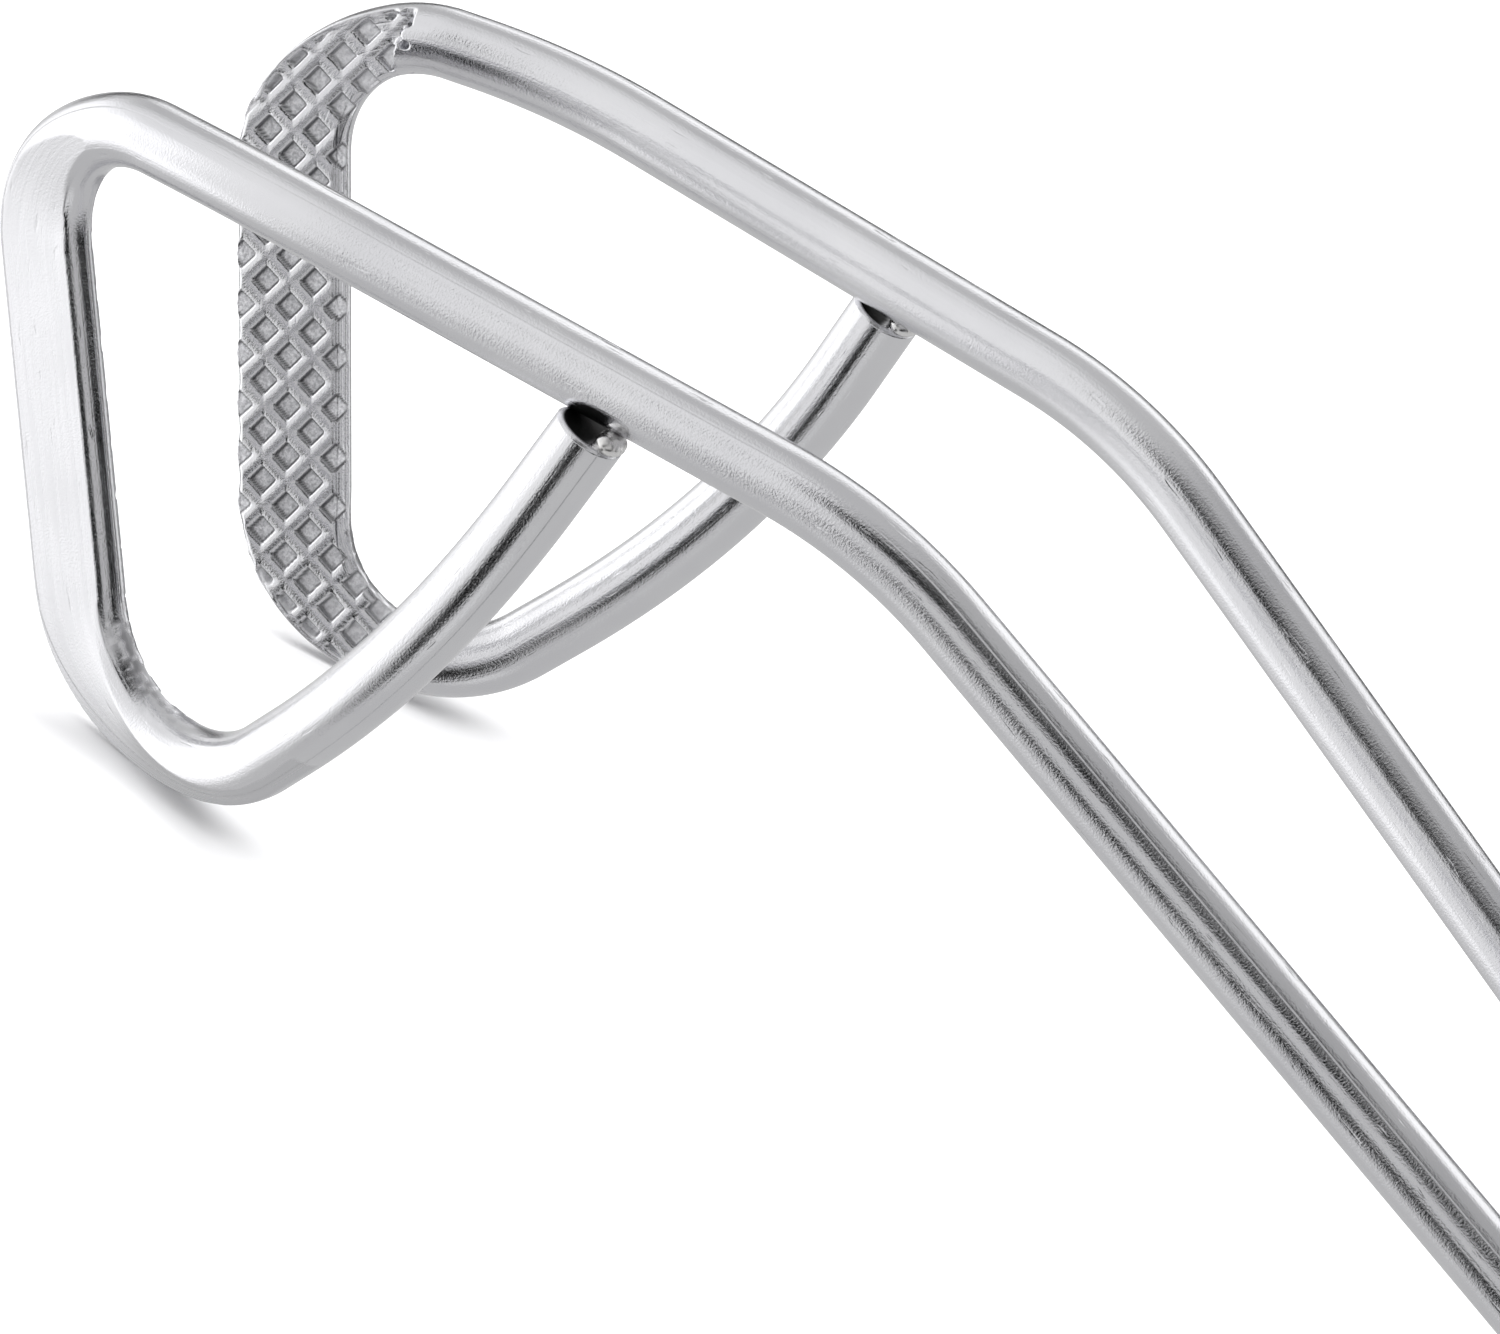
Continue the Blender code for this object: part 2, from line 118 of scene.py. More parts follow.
BEND_MARGIN, BEND_MARGIN_SOFT = 0.7 * MM, 0.9 * MM   # kept free of pits outside the bends
LOBE, LOBE_REACH = 0.35 * MM, 1.8 * MM       # how far the pits push the outer edge out
ROUND_PRESS = 0.35               # the pattern's weight where the rod is still round
DEPTH_WANDER, FLOOR_ROUGHNESS, FACE_WANDER = 0.12, 0.03 * MM, 0.02 * MM

# Marks of the bending tool in the bottom corner
SCUFF_PLACE, SCUFF_REACH = 0.30, 0.34        # along the bend
SCUFF_TURN, SCUFF_WIDTH = 1.75, 1.1          # round the rod, in eighths
SCUFF_DEPTH = 0.06 * MM

# Strut end: chamfered and dished, with painted shade that makes it black but for a bright lower
# side
END_CHAMFER = 0.35 * MM
END_DISH = 0.10 * MM
END_RINGS = 0.9, 0.75, 0.55, 0.35, 0.15
END_BRIGHT_SIDE = np.array((0.0, 0.77, -0.63))
END_BRIGHT_START, END_BRIGHT_RUN = 0.2 * ROD_RADIUS, 0.25 * ROD_RADIUS

# Hinge
EYE_RADIUS = 8.0 * MM
EYE_THICKNESS = 3.6 * MM
EYE_NECK_WIDTH = 10.4 * MM
EYE_FADE_START = 19.0 * MM
EYE_FADE_END = 9.5 * MM
EYE_GAP = 7.0 * MM
RIVET_HOLE_RADIUS = 3.3 * MM
RIVET_RADIUS = 3.0 * MM
RIVET_FILLET = 0.1 * MM
RIVET_HEAD_RADIUS = 6.0 * MM
RIVET_HEAD_HEIGHT = 2.6 * MM
RIVET_HEAD_EDGE = 0.15 * MM
HAMMERED_ABOVE, DENT_DEPTH, DENT_CELL = 0.4 * MM, 0.14 * MM, 1.9 * MM
WASHER_RADIUS = 7.0 * MM
WASHER_THICKNESS = 1.2 * MM
WASHER_EDGE = 0.25 * MM
SLEEVE_RADIUS = 4.5 * MM
SLEEVE_EDGE = 0.2 * MM
SMALLEST_GAP = 0.3 * MM

# Torsion spring
WIRE_RADIUS = 0.75 * MM
WIRE_SIDES = 20
COIL_RADIUS = 6.0 * MM
COIL_PITCH = 1.8 * MM
COIL_EXTRA_TURNS = 2
COIL_STEPS = 150
NECK_LENGTH, NECK_SPREAD = 14.0 * MM, math.radians(4.0)
SPRING_LEG_LENGTH, SPRING_LEG_SPREAD = 27.0 * MM, math.radians(17.0)
SPRING_BEND, SPRING_BEND_STEP = 9.0 * MM, 0.8 * MM

# Weld bead
BEAD_HALF_LENGTH = 2.5 * MM
BEAD_RADIUS = 1.3 * MM
BEAD_ASIDE, BEAD_AHEAD = 0.62 * ROD_RADIUS, 0.35 * MM   # its place from the strut's end
BEAD_RIPPLE, BEAD_RIPPLE_PITCH = 0.025, 0.42 * MM
BEAD_SWELL, BEAD_SWELL_CELL = 0.06, 1.6 * MM
BEAD_FLATTEN, BEAD_RAISE = 0.95, 1.2

# Mesh density
FINE_STEP = 0.22 * MM
EYE_STEP = 0.4 * MM
COARSE_STEP = 0.9 * MM
FACE_POINTS = 84
SIDE_POINTS = 30
BACK_POINTS = 28

# Camera in the upright frame, and the light
CAMERA_PLACE = (0.83496, 0.53090, 0.25125)
CAMERA_RIGHT = (-0.47607, 0.87879, -0.03288)
CAMERA_DOWN = (0.22001, 0.08282, -0.97198)
CAMERA_LENS = 220.1
SENSOR_WIDTH = 36.0

FLOOR_LIGHT_PLACE, FLOOR_LIGHT_AIM = (-0.2, -0.2, 1.8), (-0.05, -0.05, 0.0)
FLOOR_LIGHT_SIZE, FLOOR_LIGHT_POWER = 3.2, 75.0
FLOOR_SIZE = 6.0

# Each card: centre azimuth, half width, centre elevation, half height and soft edge in degrees,
# then its level. A later card lies over the earlier ones.
BASE_LEVEL = 0.60
CARDS = (
    (-40.0, 60.0, 48.0, 22.0, 24.0, 0.95),       # upper left fill
    (75.0, 85.0, 60.0, 16.0, 20.0, 0.48),        # overhead on the right, held down
    (180.0, 40.0, 33.0, 13.0, 12.0, 1.30),       # strip behind
    (180.0, 60.0, 3.0, 9.0, 8.0, 0.03),          # dark skirting behind
    (-150.0, 26.0, -18.0, 16.0, 12.0, 0.70),     # pale return behind on the left
    (-76.0, 42.0, -12.0, 36.0, 32.0, 1.55),      # big soft box on the left
    (136.0, 16.0, 6.0, 10.0, 8.0, 1.10),         # reflector behind on the right
    (-24.0, 18.0, 5.0, 34.0, 10.0, 0.98),        # the soft box's near wing
    (2.0, 12.0, 11.0, 17.0, 8.0, 0.66),          # mid tone in front
    (-3.0, 6.0, -7.0, 6.0, 7.0, 0.30),           # its shaded foot
    (4.0, 15.0, -32.0, 22.0, 8.0, 0.0),          # dark gap low in front
    (32.0, 15.0, -50.0, 6.0, 8.0, 0.90),         # pale card low on the right
    (76.0, 37.0, 0.0, 14.0, 8.0, 0.0),           # dark flag on the right
    (40.0, 22.0, 56.0, 10.0, 12.0, 0.10),        # dark flag high on the right
    (12.0, 21.0, 39.0, 13.0, 8.0, 0.0),          # dark flag over the front
)

ACROSS = np.array((1.0, 0.0, 0.0))


def unit(v):
    return v / np.linalg.norm(v, axis=-1, keepdims=True)


LEG_DIRECTION = unit(np.array((-LEG_CLOSING, math.cos(LEG_DROP), -math.sin(LEG_DROP))))
BACK_ALONG_LEG = np.array((0.0, math.cos(LEG_DROP), -math.sin(LEG_DROP)))
HINGE_AXIS = np.cross(ACROSS, BACK_ALONG_LEG)
LEG_END = LEG_CORNER + LEG_DIRECTION * LEG_LENGTH
HINGE_CENTRE = (np.array((0.0, LEG_END[1], LEG_END[2]))
                + BACK_ALONG_LEG * (LEG_END[0] / math.tan(EYE_APPROACH)))
JAW_CENTRE = (BAR_BOTTOM + BAR_TOP) / 2
BAR_UP = unit(BAR_TOP - BAR_BOTTOM)
JAW_NORMAL = unit(np.cross(np.array((JAW_TOE, 1.0, 0.0)), BAR_UP))
JAW_ACROSS = np.cross(BAR_UP, JAW_NORMAL)      # towards the arm
EYE_LEVEL = (EYE_GAP + EYE_THICKNESS) / 2


def upright_to_row():
    """The tip about X and the shift that stand the upright grip on the floor, from the joint."""
    joint = frame["record"]["behaviour"]["joints"][0]
    axis, place = joint["axis"], joint["pos_m"]
    tip = math.atan2(axis[2], axis[1]) - math.atan2(HINGE_AXIS[2], HINGE_AXIS[1])
    turn = Matrix.Rotation(tip, 4, "X")
    return Matrix.Translation(Vector(place) - turn @ Vector(HINGE_CENTRE)) @ turn


TO_ROW = upright_to_row()
ROW = np.array(TO_ROW)


def in_row(points):
    return points @ ROW[:3, :3].T + ROW[:3, 3]


def smooth(value):
    value = np.clip(value, 0.0, 1.0)
    return value * value * (3.0 - 2.0 * value)


def faded(part, fade):
    return smooth((fade[1] - part) / (fade[1] - fade[0]))


def mixed(first, second, part):
    """Rings of points between two shapes, by each ring's own part of the second."""
    return first * (1 - part)[:, None, None] + second * part[:, None, None]


def new_mesh(name, body):
    mesh = bpy.data.meshes.new(name)
    body.to_mesh(mesh)
    body.free()
    return mesh


def link(name, data):
    made = bpy.data.objects.new(name, data)
    bpy.context.scene.collection.objects.link(made)
    return made


def coordinates(mesh):
    flat = np.zeros(len(mesh.vertices) * 3)
    mesh.vertices.foreach_get("co", flat)
    return flat.reshape(-1, 3)


# ---------------------------------------------------------------- noise

def lattice_noise(points, cell, seed):
    """Smooth value noise between -1 and 1 for an array of points, from a hashed lattice."""
    grid = np.asarray(points, float) / cell
    base = np.floor(grid).astype(np.int64)
    part = grid - base
    part = part * part * (3 - 2 * part)
    total = np.zeros(len(grid))
    width = grid.shape[1]
    for corner in range(2 ** width):
        offset = np.array([(corner >> k) & 1 for k in range(width)])
        cells = base + offset
        key = np.full(len(grid), seed * 7919 + 17, np.int64)
        for k in range(width):
            key = (key * 1103515245 + cells[:, k] * (12345 + 7001 * k)) & 0x7FFFFFFF
            key ^= key >> 11
            key = (key * 48271) & 0x7FFFFFFF
        weight = np.prod(np.where(offset == 1, part, 1 - part), axis=1)
        total += weight * (key / 0x7FFFFFFF * 2 - 1)
    return total


def surface_noise(first, second, cell, seed):
    """The same over a surface, from two coordinate arrays of one shape."""
    places = np.stack([first.ravel(), second.ravel()], 1)
    return lattice_noise(places, cell, seed).reshape(first.shape)


# ---------------------------------------------------------------- rods

def bend_points(before, corner, after, radius, step):
    arriving, leaving = unit(before - corner), unit(after - corner)
    half_angle = math.acos(np.clip(arriving @ leaving, -1, 1)) / 2
    middle = corner + unit(arriving + leaving) * (radius / math.sin(half_angle))
    start = corner + arriving * (radius / math.tan(half_angle))
    turn = math.pi - 2 * half_angle
    spoke = start - middle
    ahead = -arriving * radius
    count = max(8, round(radius * turn / step))
    angles = np.linspace(0, turn, count + 1)[:, None]
    return middle + spoke * np.cos(angles) + ahead * np.sin(angles)


def straight_points(start, end, steps):
    """Points from start, which is left out, to end."""
    return start + (end - start) * (np.arange(1, steps + 1) / steps)[:, None]


def centreline(step=0.05 * MM):
    """Dense points from strut end to the eye's far edge, their distances, and the bends' spans."""
    run = unit(HINGE_CENTRE - LEG_END)
    corners = [STRUT_END, STRUT_CORNER, BAR_BOTTOM, BAR_TOP, ARM_CRANK, LEG_CORNER, LEG_END,
               HINGE_CENTRE + run * EYE_RADIUS]
    radii = [STRUT_BEND, BOTTOM_BEND, TOP_BEND, CRANK_BEND, LEG_BEND, EYE_BEND]
    pieces, spans, count = [corners[0][None]], [], 1
    for i, radius in enumerate(radii):
        arc = bend_points(corners[i], corners[i + 1], corners[i + 2], radius, step)
        before = pieces[-1][-1]
        steps = max(2, round(np.linalg.norm(arc[0] - before) / step))
        line = straight_points(before, arc[0], steps)
        pieces += [line, arc[1:]]
        count += len(line)
        spans.append((count - 1, count + len(arc) - 2))
        count += len(arc) - 1
    before = pieces[-1][-1]
    steps = round(np.linalg.norm(corners[-1] - before) / step)
    pieces.append(straight_points(before, corners[-1], steps))
    path = np.concatenate(pieces)
    lengths = np.concatenate([[0], np.cumsum(np.linalg.norm(np.diff(path, axis=0), axis=1))])
    return path, lengths, [(lengths[a], lengths[b]) for a, b in spans]


PATH, LENGTHS, BENDS = centreline()
TANGENTS = unit(np.gradient(PATH, axis=0))
AXIS_LENGTH = LENGTHS[-1] - EYE_RADIUS
CUT_START = BENDS[1][0] - CUT_BEFORE
CUT_END = BENDS[2][1] + CUT_AFTER


def at(lengths, values):
    return np.stack([np.interp(lengths, LENGTHS, values[:, k]) for k in range(3)], axis=1)


def stations():
    """Distances along the rod: close together on the cross-cut faces and the ends."""
    chamfer = [0.0, 0.12 * MM, 0.25 * MM, 0.35 * MM]
    before = np.arange(0.45 * MM, CUT_START, COARSE_STEP)
    cut = np.arange(CUT_START, CUT_END, FINE_STEP)
    after = np.arange(CUT_END, AXIS_LENGTH - EYE_FADE_START, COARSE_STEP)
    eye = np.arange(AXIS_LENGTH - EYE_FADE_START, AXIS_LENGTH + 0.96 * EYE_RADIUS, EYE_STEP)
    rim = AXIS_LENGTH + EYE_RADIUS * np.array((0.975, 0.99, 0.998))
    return np.concatenate([chamfer, before, cut, after, eye, rim])


def ring_turns():
    """Turns round the rod in eighths: 0 is the back, 4 the gripping face."""
    spans = ((-1, 1, BACK_POINTS), (1, 3, SIDE_POINTS), (3, 5, FACE_POINTS), (5, 7, SIDE_POINTS))
    return np.concatenate([np.linspace(*span, endpoint=False) for span in spans])


def jaw_outline(turns):
    """Pressed section with rounded corners: depth (back positive) and width for each turn."""
    half_depth, half_back, half_face = JAW_THICKNESS / 2, JAW_BACK_WIDTH / 2, JAW_FACE_WIDTH / 2
    depth, width = np.zeros_like(turns), np.zeros_like(turns)
    back = turns < 1
    face = (turns >= 3) & (turns < 5)
    depth[back], width[back] = half_depth, half_back * turns[back]
    depth[face] = -half_depth
    width[face] = np.where(turns[face] < 4, INNER_FACE_HALF, half_face) * (4 - turns[face])
    streaks = STREAK_HEIGHT * lattice_noise(turns[:, None], STREAK_CELL, STREAK_SEED)
    inner, outer = (turns >= 1) & (turns < 3), turns >= 5
    for side, sign, edge, bulge in ((inner, 1, INNER_FACE_HALF, INNER_BULGE),
                                    (outer, -1, half_face, OUTER_BULGE)):
        along = (turns[side] - 1) / 2 if sign > 0 else (7 - turns[side]) / 2
        hump = np.sin(math.pi * along)
        half = half_back + (edge - half_back) * along + bulge * hump
        corner = (np.maximum(0, 1 - along / SIDE_ROUNDING[0]) ** 2
                  + np.maximum(0, 1 - (1 - along) / SIDE_ROUNDING[1]) ** 2)
        depth[side] = half_depth * (1 - 2 * along)
        width[side] = sign * (half - CORNER_INSET * corner + streaks[side] * hump)
    for flat, edges in ((back, (half_back, half_back)), (face, (INNER_FACE_HALF, half_face))):
        edge = np.where(width[flat] > 0, *edges)
        inset = np.maximum(0, np.abs(width[flat]) - (edge - FLAT_ROUNDING)) / FLAT_ROUNDING
        depth[flat] -= np.sign(depth[flat]) * FLAT_DROP * inset ** 2
        width[flat] -= np.sign(width[flat]) * CORNER_INSET * inset ** 2
    return depth, width


def eye_outline(turns, half_width):
    """Pressed eye section for each station (rows) and turn (columns): width and depth."""
    half_depth = EYE_THICKNESS / 2
    turns = np.broadcast_to(turns, (len(half_width), len(turns)))
    half = np.broadcast_to(half_width[:, None], turns.shape)
    corner = half - np.minimum(0.2 * EYE_THICKNESS, half / 2)
    top = (turns >= 1) & (turns <= 3)
    low = (turns >= 5) & (turns <= 7)
    mid = (turns > 3) & (turns < 5)
    off = np.where(mid, turns - 4, np.where(turns <= 1, turns, turns - 8))
    edge = corner + (half - corner) * np.cos(off * math.pi / 2)
    sides = np.where(mid, -edge, edge)
    width = np.where(top, corner * (2 - turns), np.where(low, corner * (turns - 6), sides))
    sides = half_depth * np.where(mid, -off, off)
    depth = np.where(top, half_depth, np.where(low, -half_depth, sides))
    return width, depth


def pit_depth(along, across):
    """At a place on the gripping face: how far the pattern is pressed in, how much of a pit's
    floor it is, how near a pit's middle it is, and how much painted shade a pit wall's line gets."""
    root = math.sqrt(0.5)
    half_pitch = CUT_PITCH / 2
    nearest = np.minimum(*(half_pitch - np.abs(np.mod(diagonal, CUT_PITCH) - half_pitch)
                           for diagonal in ((along + across) * root, (along - across) * root)))
    crest = (CUT_PITCH - PIT_SIDE) / 2 - PIT_WALL
    floor = smooth((nearest - crest) / PIT_WALL)
    rounding = RIDGE_ROUNDING * np.clip(nearest / crest, 0, 1) ** 2
    strength, place, half_width = WALL_SHADE
    # painted shade: a dark line along each pit wall, standing in for the shade in the recesses
    shade = smooth(strength - np.abs(nearest - crest - place * PIT_WALL) / half_width)
    depth = PIT_DEPTH * (rounding + (1 - RIDGE_ROUNDING) * floor)
    return depth, floor, smooth(nearest / half_pitch), shade


def round_rings(lengths, turns, centre, tangent):
    """The plain rod's rings with the strut end's chamfer, and each ring's sideways direction."""
    across = unit(ACROSS - tangent * (tangent @ ACROSS)[:, None])
    sideways = np.cross(tangent, across)
    angles = (turns * math.pi / 4)[:, None]
    radius = ROD_RADIUS - np.maximum(0, END_CHAMFER - lengths)
    spin = across[:, None] * np.cos(angles) + sideways[:, None] * np.sin(angles)
    return centre[:, None] + spin * radius[:, None, None], sideways


def run_out(points, middle, inward, into_bottom, into_top, near_jaw):
    """Press the back flat on past the bar, to a point on the way into the round rod."""
    lean = BOTTOM_LEAN * smooth(into_bottom) - TOP_LEAN * smooth(into_top / TOP_LEAN_RUN)
    die = JAW_NORMAL[None] * np.cos(lean)[:, None] - inward * np.sin(lean)[:, None]
    rise = np.maximum(smooth((into_bottom - BOTTOM_RISE[0]) / BOTTOM_RISE[1]),
                      smooth((into_top - TOP_RISE[0]) / TOP_RISE[1]))
    reach = JAW_THICKNESS / 2 + (DIE_CLEAR - JAW_THICKNESS / 2) * rise
    height = np.einsum("ijk,ik->ij", points - middle[:, None], die)
    over = np.maximum(0, height - reach[:, None]) * near_jaw
    return points - die[:, None] * over[..., None], smooth(over / FLAT_EDGE)


def press_pattern(points, middle, inward, jaw, into_bend, near_jaw, seed):
    """Press the cross-cut pattern into the gripping side, and say where its pits are and where the
    painted shade on their walls goes.
    """
    rel = points - JAW_CENTRE
    depth_at, along, over_face = rel @ JAW_NORMAL, rel @ BAR_UP, rel @ JAW_ACROSS
    lateral = np.einsum("ijk,ik->ij", points - middle[:, None], inward)
    rag = surface_noise(along, over_face, 1.3 * MM, seed)
    fine = surface_noise(along, over_face, 0.35 * MM, seed + 5)
    broad = surface_noise(along, over_face, 3.1 * MM, seed + 9)

    die_on = smooth((DIE_EDGE + DIE_RAG * rag - over_face) / DIE_SOFT) * near_jaw
    grip = smooth((-depth_at - GRIP_LEVEL) / GRIP_SOFT)
    edge = np.where(lateral > 0, INNER_FACE_HALF, JAW_FACE_WIDTH / 2)
    to_edge = edge * jaw[:, None] + ROD_RADIUS * (1 - jaw[:, None]) - np.abs(lateral)
    on_bend = smooth(3 * into_bend)[:, None] * (lateral < 0)
    inside = 1 - on_bend * (1 - smooth((to_edge - BEND_MARGIN) / BEND_MARGIN_SOFT))

    pit, floor, swell, shade = pit_depth(along + CUT_PHASE[0],
                                         over_face + CUT_PHASE[1] - CUT_SKEW * along)
    floor, swell = floor * inside, swell * (1 - on_bend)
    taper = TAPER_DEPTH * smooth(1 - to_edge / EDGE_TAPER) * grip * (1 - on_bend)
    cut = (np.maximum(pit * inside * (1 + DEPTH_WANDER * broad), taper)
           + FLOOR_ROUGHNESS * fine * floor + FACE_WANDER * broad)
    raised = np.maximum(depth_at, cut - JAW_THICKNESS / 2)
    moved = (raised - depth_at) * die_on * (depth_at < 0)
    lobe = LOBE * swell * smooth(1 - to_edge / LOBE_REACH) * die_on * grip * (lateral < 0)
    points = points + JAW_NORMAL * moved[..., None] - inward[:, None] * lobe[..., None]
    weight = grip * die_on ** 2 * (ROUND_PRESS + (1 - ROUND_PRESS) * jaw[:, None])
    # the third value is the painted shade line on the pit walls
    return points, floor * weight, shade * inside * weight


def press_eye(points, lengths, turns, centre, tangent, sideways, eye_side):
    """Press the rod's end into the flat eye that lies on one side of the grip's middle plane."""
    to_axis = AXIS_LENGTH - lengths
    disc = np.sqrt(np.maximum(EYE_RADIUS ** 2 - to_axis ** 2, 0))
    half_width = np.where(to_axis < 0, disc, np.maximum(disc, EYE_NECK_WIDTH / 2))
    eye_centre = HINGE_CENTRE + HINGE_AXIS * EYE_LEVEL * eye_side
    normal = np.where((sideways @ HINGE_AXIS)[:, None] > 0, HINGE_AXIS, -HINGE_AXIS)
    middle = centre - HINGE_AXIS * ((centre - eye_centre) @ HINGE_AXIS)[:, None]
    across = unit(np.cross(normal, tangent))
    width, depth = eye_outline(turns % 8, half_width)
    pressed = (middle[:, None] + across[:, None] * width[..., None]
               + normal[:, None] * depth[..., None])
    eye = smooth((EYE_FADE_START - to_axis) / (EYE_FADE_START - EYE_FADE_END))
    return mixed(points, pressed, eye)


def scuff_marks(lengths, turns, into_bottom, seed):
    """Marks the bending tool left in the bottom corner."""
    along_bend = smooth(1 - np.abs(into_bottom - SCUFF_PLACE) / SCUFF_REACH) ** 0.5
    round_rod = smooth(1 - np.abs(turns - SCUFF_TURN) / SCUFF_WIDTH)
    place = np.broadcast_arrays(lengths[:, None], (turns * 3.0 * MM)[None])
    blotch = surface_noise(*place, 0.9 * MM, seed)
    return along_bend[:, None] * round_rod[None] * smooth(0.5 + 1.2 * blotch)


def rod_points(eye_side, seed):
    """Rings of a rod at full detail in the upright frame, left half, and its surface marks."""
    lengths, turns = stations(), ring_turns()
    centre, tangent = at(lengths, PATH), unit(at(lengths, TANGENTS))
    points, sideways = round_rings(lengths, turns, centre, tangent)

    bottom, top = BENDS[1], BENDS[2]
    into_bottom = (bottom[1] - lengths) / (bottom[1] - bottom[0])
    into_top = (lengths - top[0]) / (top[1] - top[0])
    near_jaw = ((lengths > bottom[0] - NEAR_BOTTOM) & (lengths < top[1] + NEAR_TOP))[:, None]
    jaw = np.minimum(faded(into_bottom, BOTTOM_FADE), faded(into_top, TOP_FADE))
    middle = centre - JAW_NORMAL * ((centre - JAW_CENTRE) @ JAW_NORMAL)[:, None]
    inward = unit(np.cross(tangent, JAW_NORMAL))
    depth, width = (values[:, None] for values in jaw_outline(turns))
    points = mixed(points, middle[:, None] + JAW_NORMAL * depth + inward[:, None] * width, jaw)

    points, flat_back = run_out(points, middle, inward, into_bottom, into_top, near_jaw)
    points, pit, painted_wall_shade = press_pattern(points, middle, inward, jaw,
                                      np.maximum(into_top, into_bottom), near_jaw, seed)
    points = press_eye(points, lengths, turns, centre, tangent, sideways, eye_side)
    scuff = scuff_marks(lengths, turns, into_bottom, seed + 21)
    points = points - inward[:, None] * (SCUFF_DEPTH * scuff)[..., None]

    on_back = smooth(jaw / 0.6)[:, None] * (np.abs(turns)[None] < 0.97)
    return points, {
        "scuff": scuff,
        "along": np.broadcast_to(lengths[:, None], scuff.shape),
        "around": np.broadcast_to((turns * math.pi / 4 * ROD_RADIUS)[None], scuff.shape),
        "pit": pit,
        # painted shade line on the pit walls
        "painted_wall_shade": painted_wall_shade,
        "flat_back": np.maximum(flat_back, on_back) * near_jaw,
    }


def strut_end(first_ring, tangent):
    """Rings that close the dished strut end, with their middle last."""
    middle = first_ring.mean(axis=0)
    rings = [middle + (first_ring - middle) * part + tangent * (END_DISH * (1 - part ** 2))
             for part in END_RINGS]
    return np.concatenate(rings + [middle[None] + tangent * END_DISH])


def end_painted_shade(end_points, middle, tangent):
    """How much painted shade the strut end takes: black all over but for its lower side, which is
    left bright.
    """
    bright_side = unit(END_BRIGHT_SIDE - tangent * (END_BRIGHT_SIDE @ tangent))
    reach = (end_points - middle) @ bright_side
    return 1.0 - smooth((reach - END_BRIGHT_START) / END_BRIGHT_RUN)


def tube_quads(rings, count):
    """The points' numbers, ring by ring, and the faces between neighbouring rings."""
    index = np.arange(rings * count).reshape(rings, count)
    after = np.roll(index, -1, axis=1)
    quads = np.stack([index[:-1], after[:-1], after[1:], index[1:]], axis=-1).reshape(-1, 4)
    return index, quads.tolist()


def make_rod(name, side, seed, material):
    points, attributes = rod_points(side, seed)
    rings, count = points.shape[:2]
    tangent = unit(PATH[1] - PATH[0])
    end, start = strut_end(points[0], tangent), rings * count
    verts = np.concatenate([points.reshape(-1, 3), end, points[-1].mean(axis=0)[None]])
    end_middle, eye_middle = len(verts) - 2, len(verts) - 1

    index, faces = tube_quads(rings, count)
    inner = index[0]
    for ring in np.arange(start, end_middle).reshape(-1, count):
        band = np.stack([np.roll(inner, -1), inner, ring, np.roll(ring, -1)], axis=-1)
        faces += band.tolist()
        inner = ring
    faces += [[int(b), int(a), end_middle] for a, b in zip(inner, np.roll(inner, -1))]
    faces += [[int(a), int(b), eye_middle] for a, b in zip(index[-1], np.roll(index[-1], -1))]

    spare = np.zeros(len(verts) - start)
    layers = {key: np.concatenate([value.ravel(), spare]) for key, value in attributes.items()}
    layers["sawn_end_and_painted_shade"] = np.zeros(len(verts))
    if side < 0:
        verts[:, 0] *= -1
        faces = [face[::-1] for face in faces]
    # painted shade: the strut end face is painted black but for its lower side
    layers["sawn_end_and_painted_shade"][start:-1] = end_painted_shade(verts[start:-1], points[0].mean(axis=0), tangent)
    mesh = bpy.data.meshes.new(name)
    mesh.from_pydata(in_row(verts).tolist(), [], faces)
    for key, values in layers.items():
        layer = mesh.attributes.new(key, "FLOAT", "POINT")
        layer.data.foreach_set("value", values.astype(np.float32))
    mesh.materials.append(material)
    mesh.shade_smooth()
    mesh.update()
    rod = link(name, mesh)
    rivet_hole(rod, side)
    return rod


def hinge_frame(level=0.0):
    """Local Z along the hinge axis and local X across the grip."""
    y_axis = Vector(HINGE_AXIS).cross(Vector(ACROSS))
    turned = Matrix((Vector(ACROSS), y_axis, Vector(HINGE_AXIS))).transposed()
    place = Vector(HINGE_CENTRE) + Vector(HINGE_AXIS) * level
    return TO_ROW @ Matrix.Translation(place) @ turned.to_4x4()


def rivet_hole(rod, side):
    """Cut the eye's hole."""
    body = bmesh.new()
    bmesh.ops.create_cone(body, cap_ends=True, segments=64, radius1=RIVET_HOLE_RADIUS,
                          radius2=RIVET_HOLE_RADIUS, depth=4 * EYE_THICKNESS)
    cutter = link("hole", new_mesh("hole", body))
    cutter.matrix_world = hinge_frame(EYE_LEVEL * side)
    cut = rod.modifiers.new("hole", "BOOLEAN")
    cut.operation = "DIFFERENCE"
    cut.object = cutter
    cut.solver = "MANIFOLD"
    bpy.context.view_layer.update()
    graph = bpy.context.evaluated_depsgraph_get()
    made = bpy.data.meshes.new_from_object(rod.evaluated_get(graph), depsgraph=graph)
    rod.modifiers.clear()
    rod.data = made
    bpy.data.objects.remove(cutter)


# ---------------------------------------------------------------- materials

def new_material(name):
    material = bpy.data.materials.new(name)
    material.use_nodes = True
    tree = material.node_tree
    tree.nodes.clear()
    out = tree.nodes.new("ShaderNodeOutputMaterial")
    shader = tree.nodes.new("ShaderNodeBsdfPrincipled")
    tree.links.new(shader.outputs[0], out.inputs[0])
    shader.inputs["Metallic"].default_value = 1.0
    return material, tree, shader


def node(tree, kind, **settings):
    made = tree.nodes.new(kind)
    for key, value in settings.items():
        if key in made.inputs:
            made.inputs[key].default_value = value
        else:
            setattr(made, key, value)
    return made


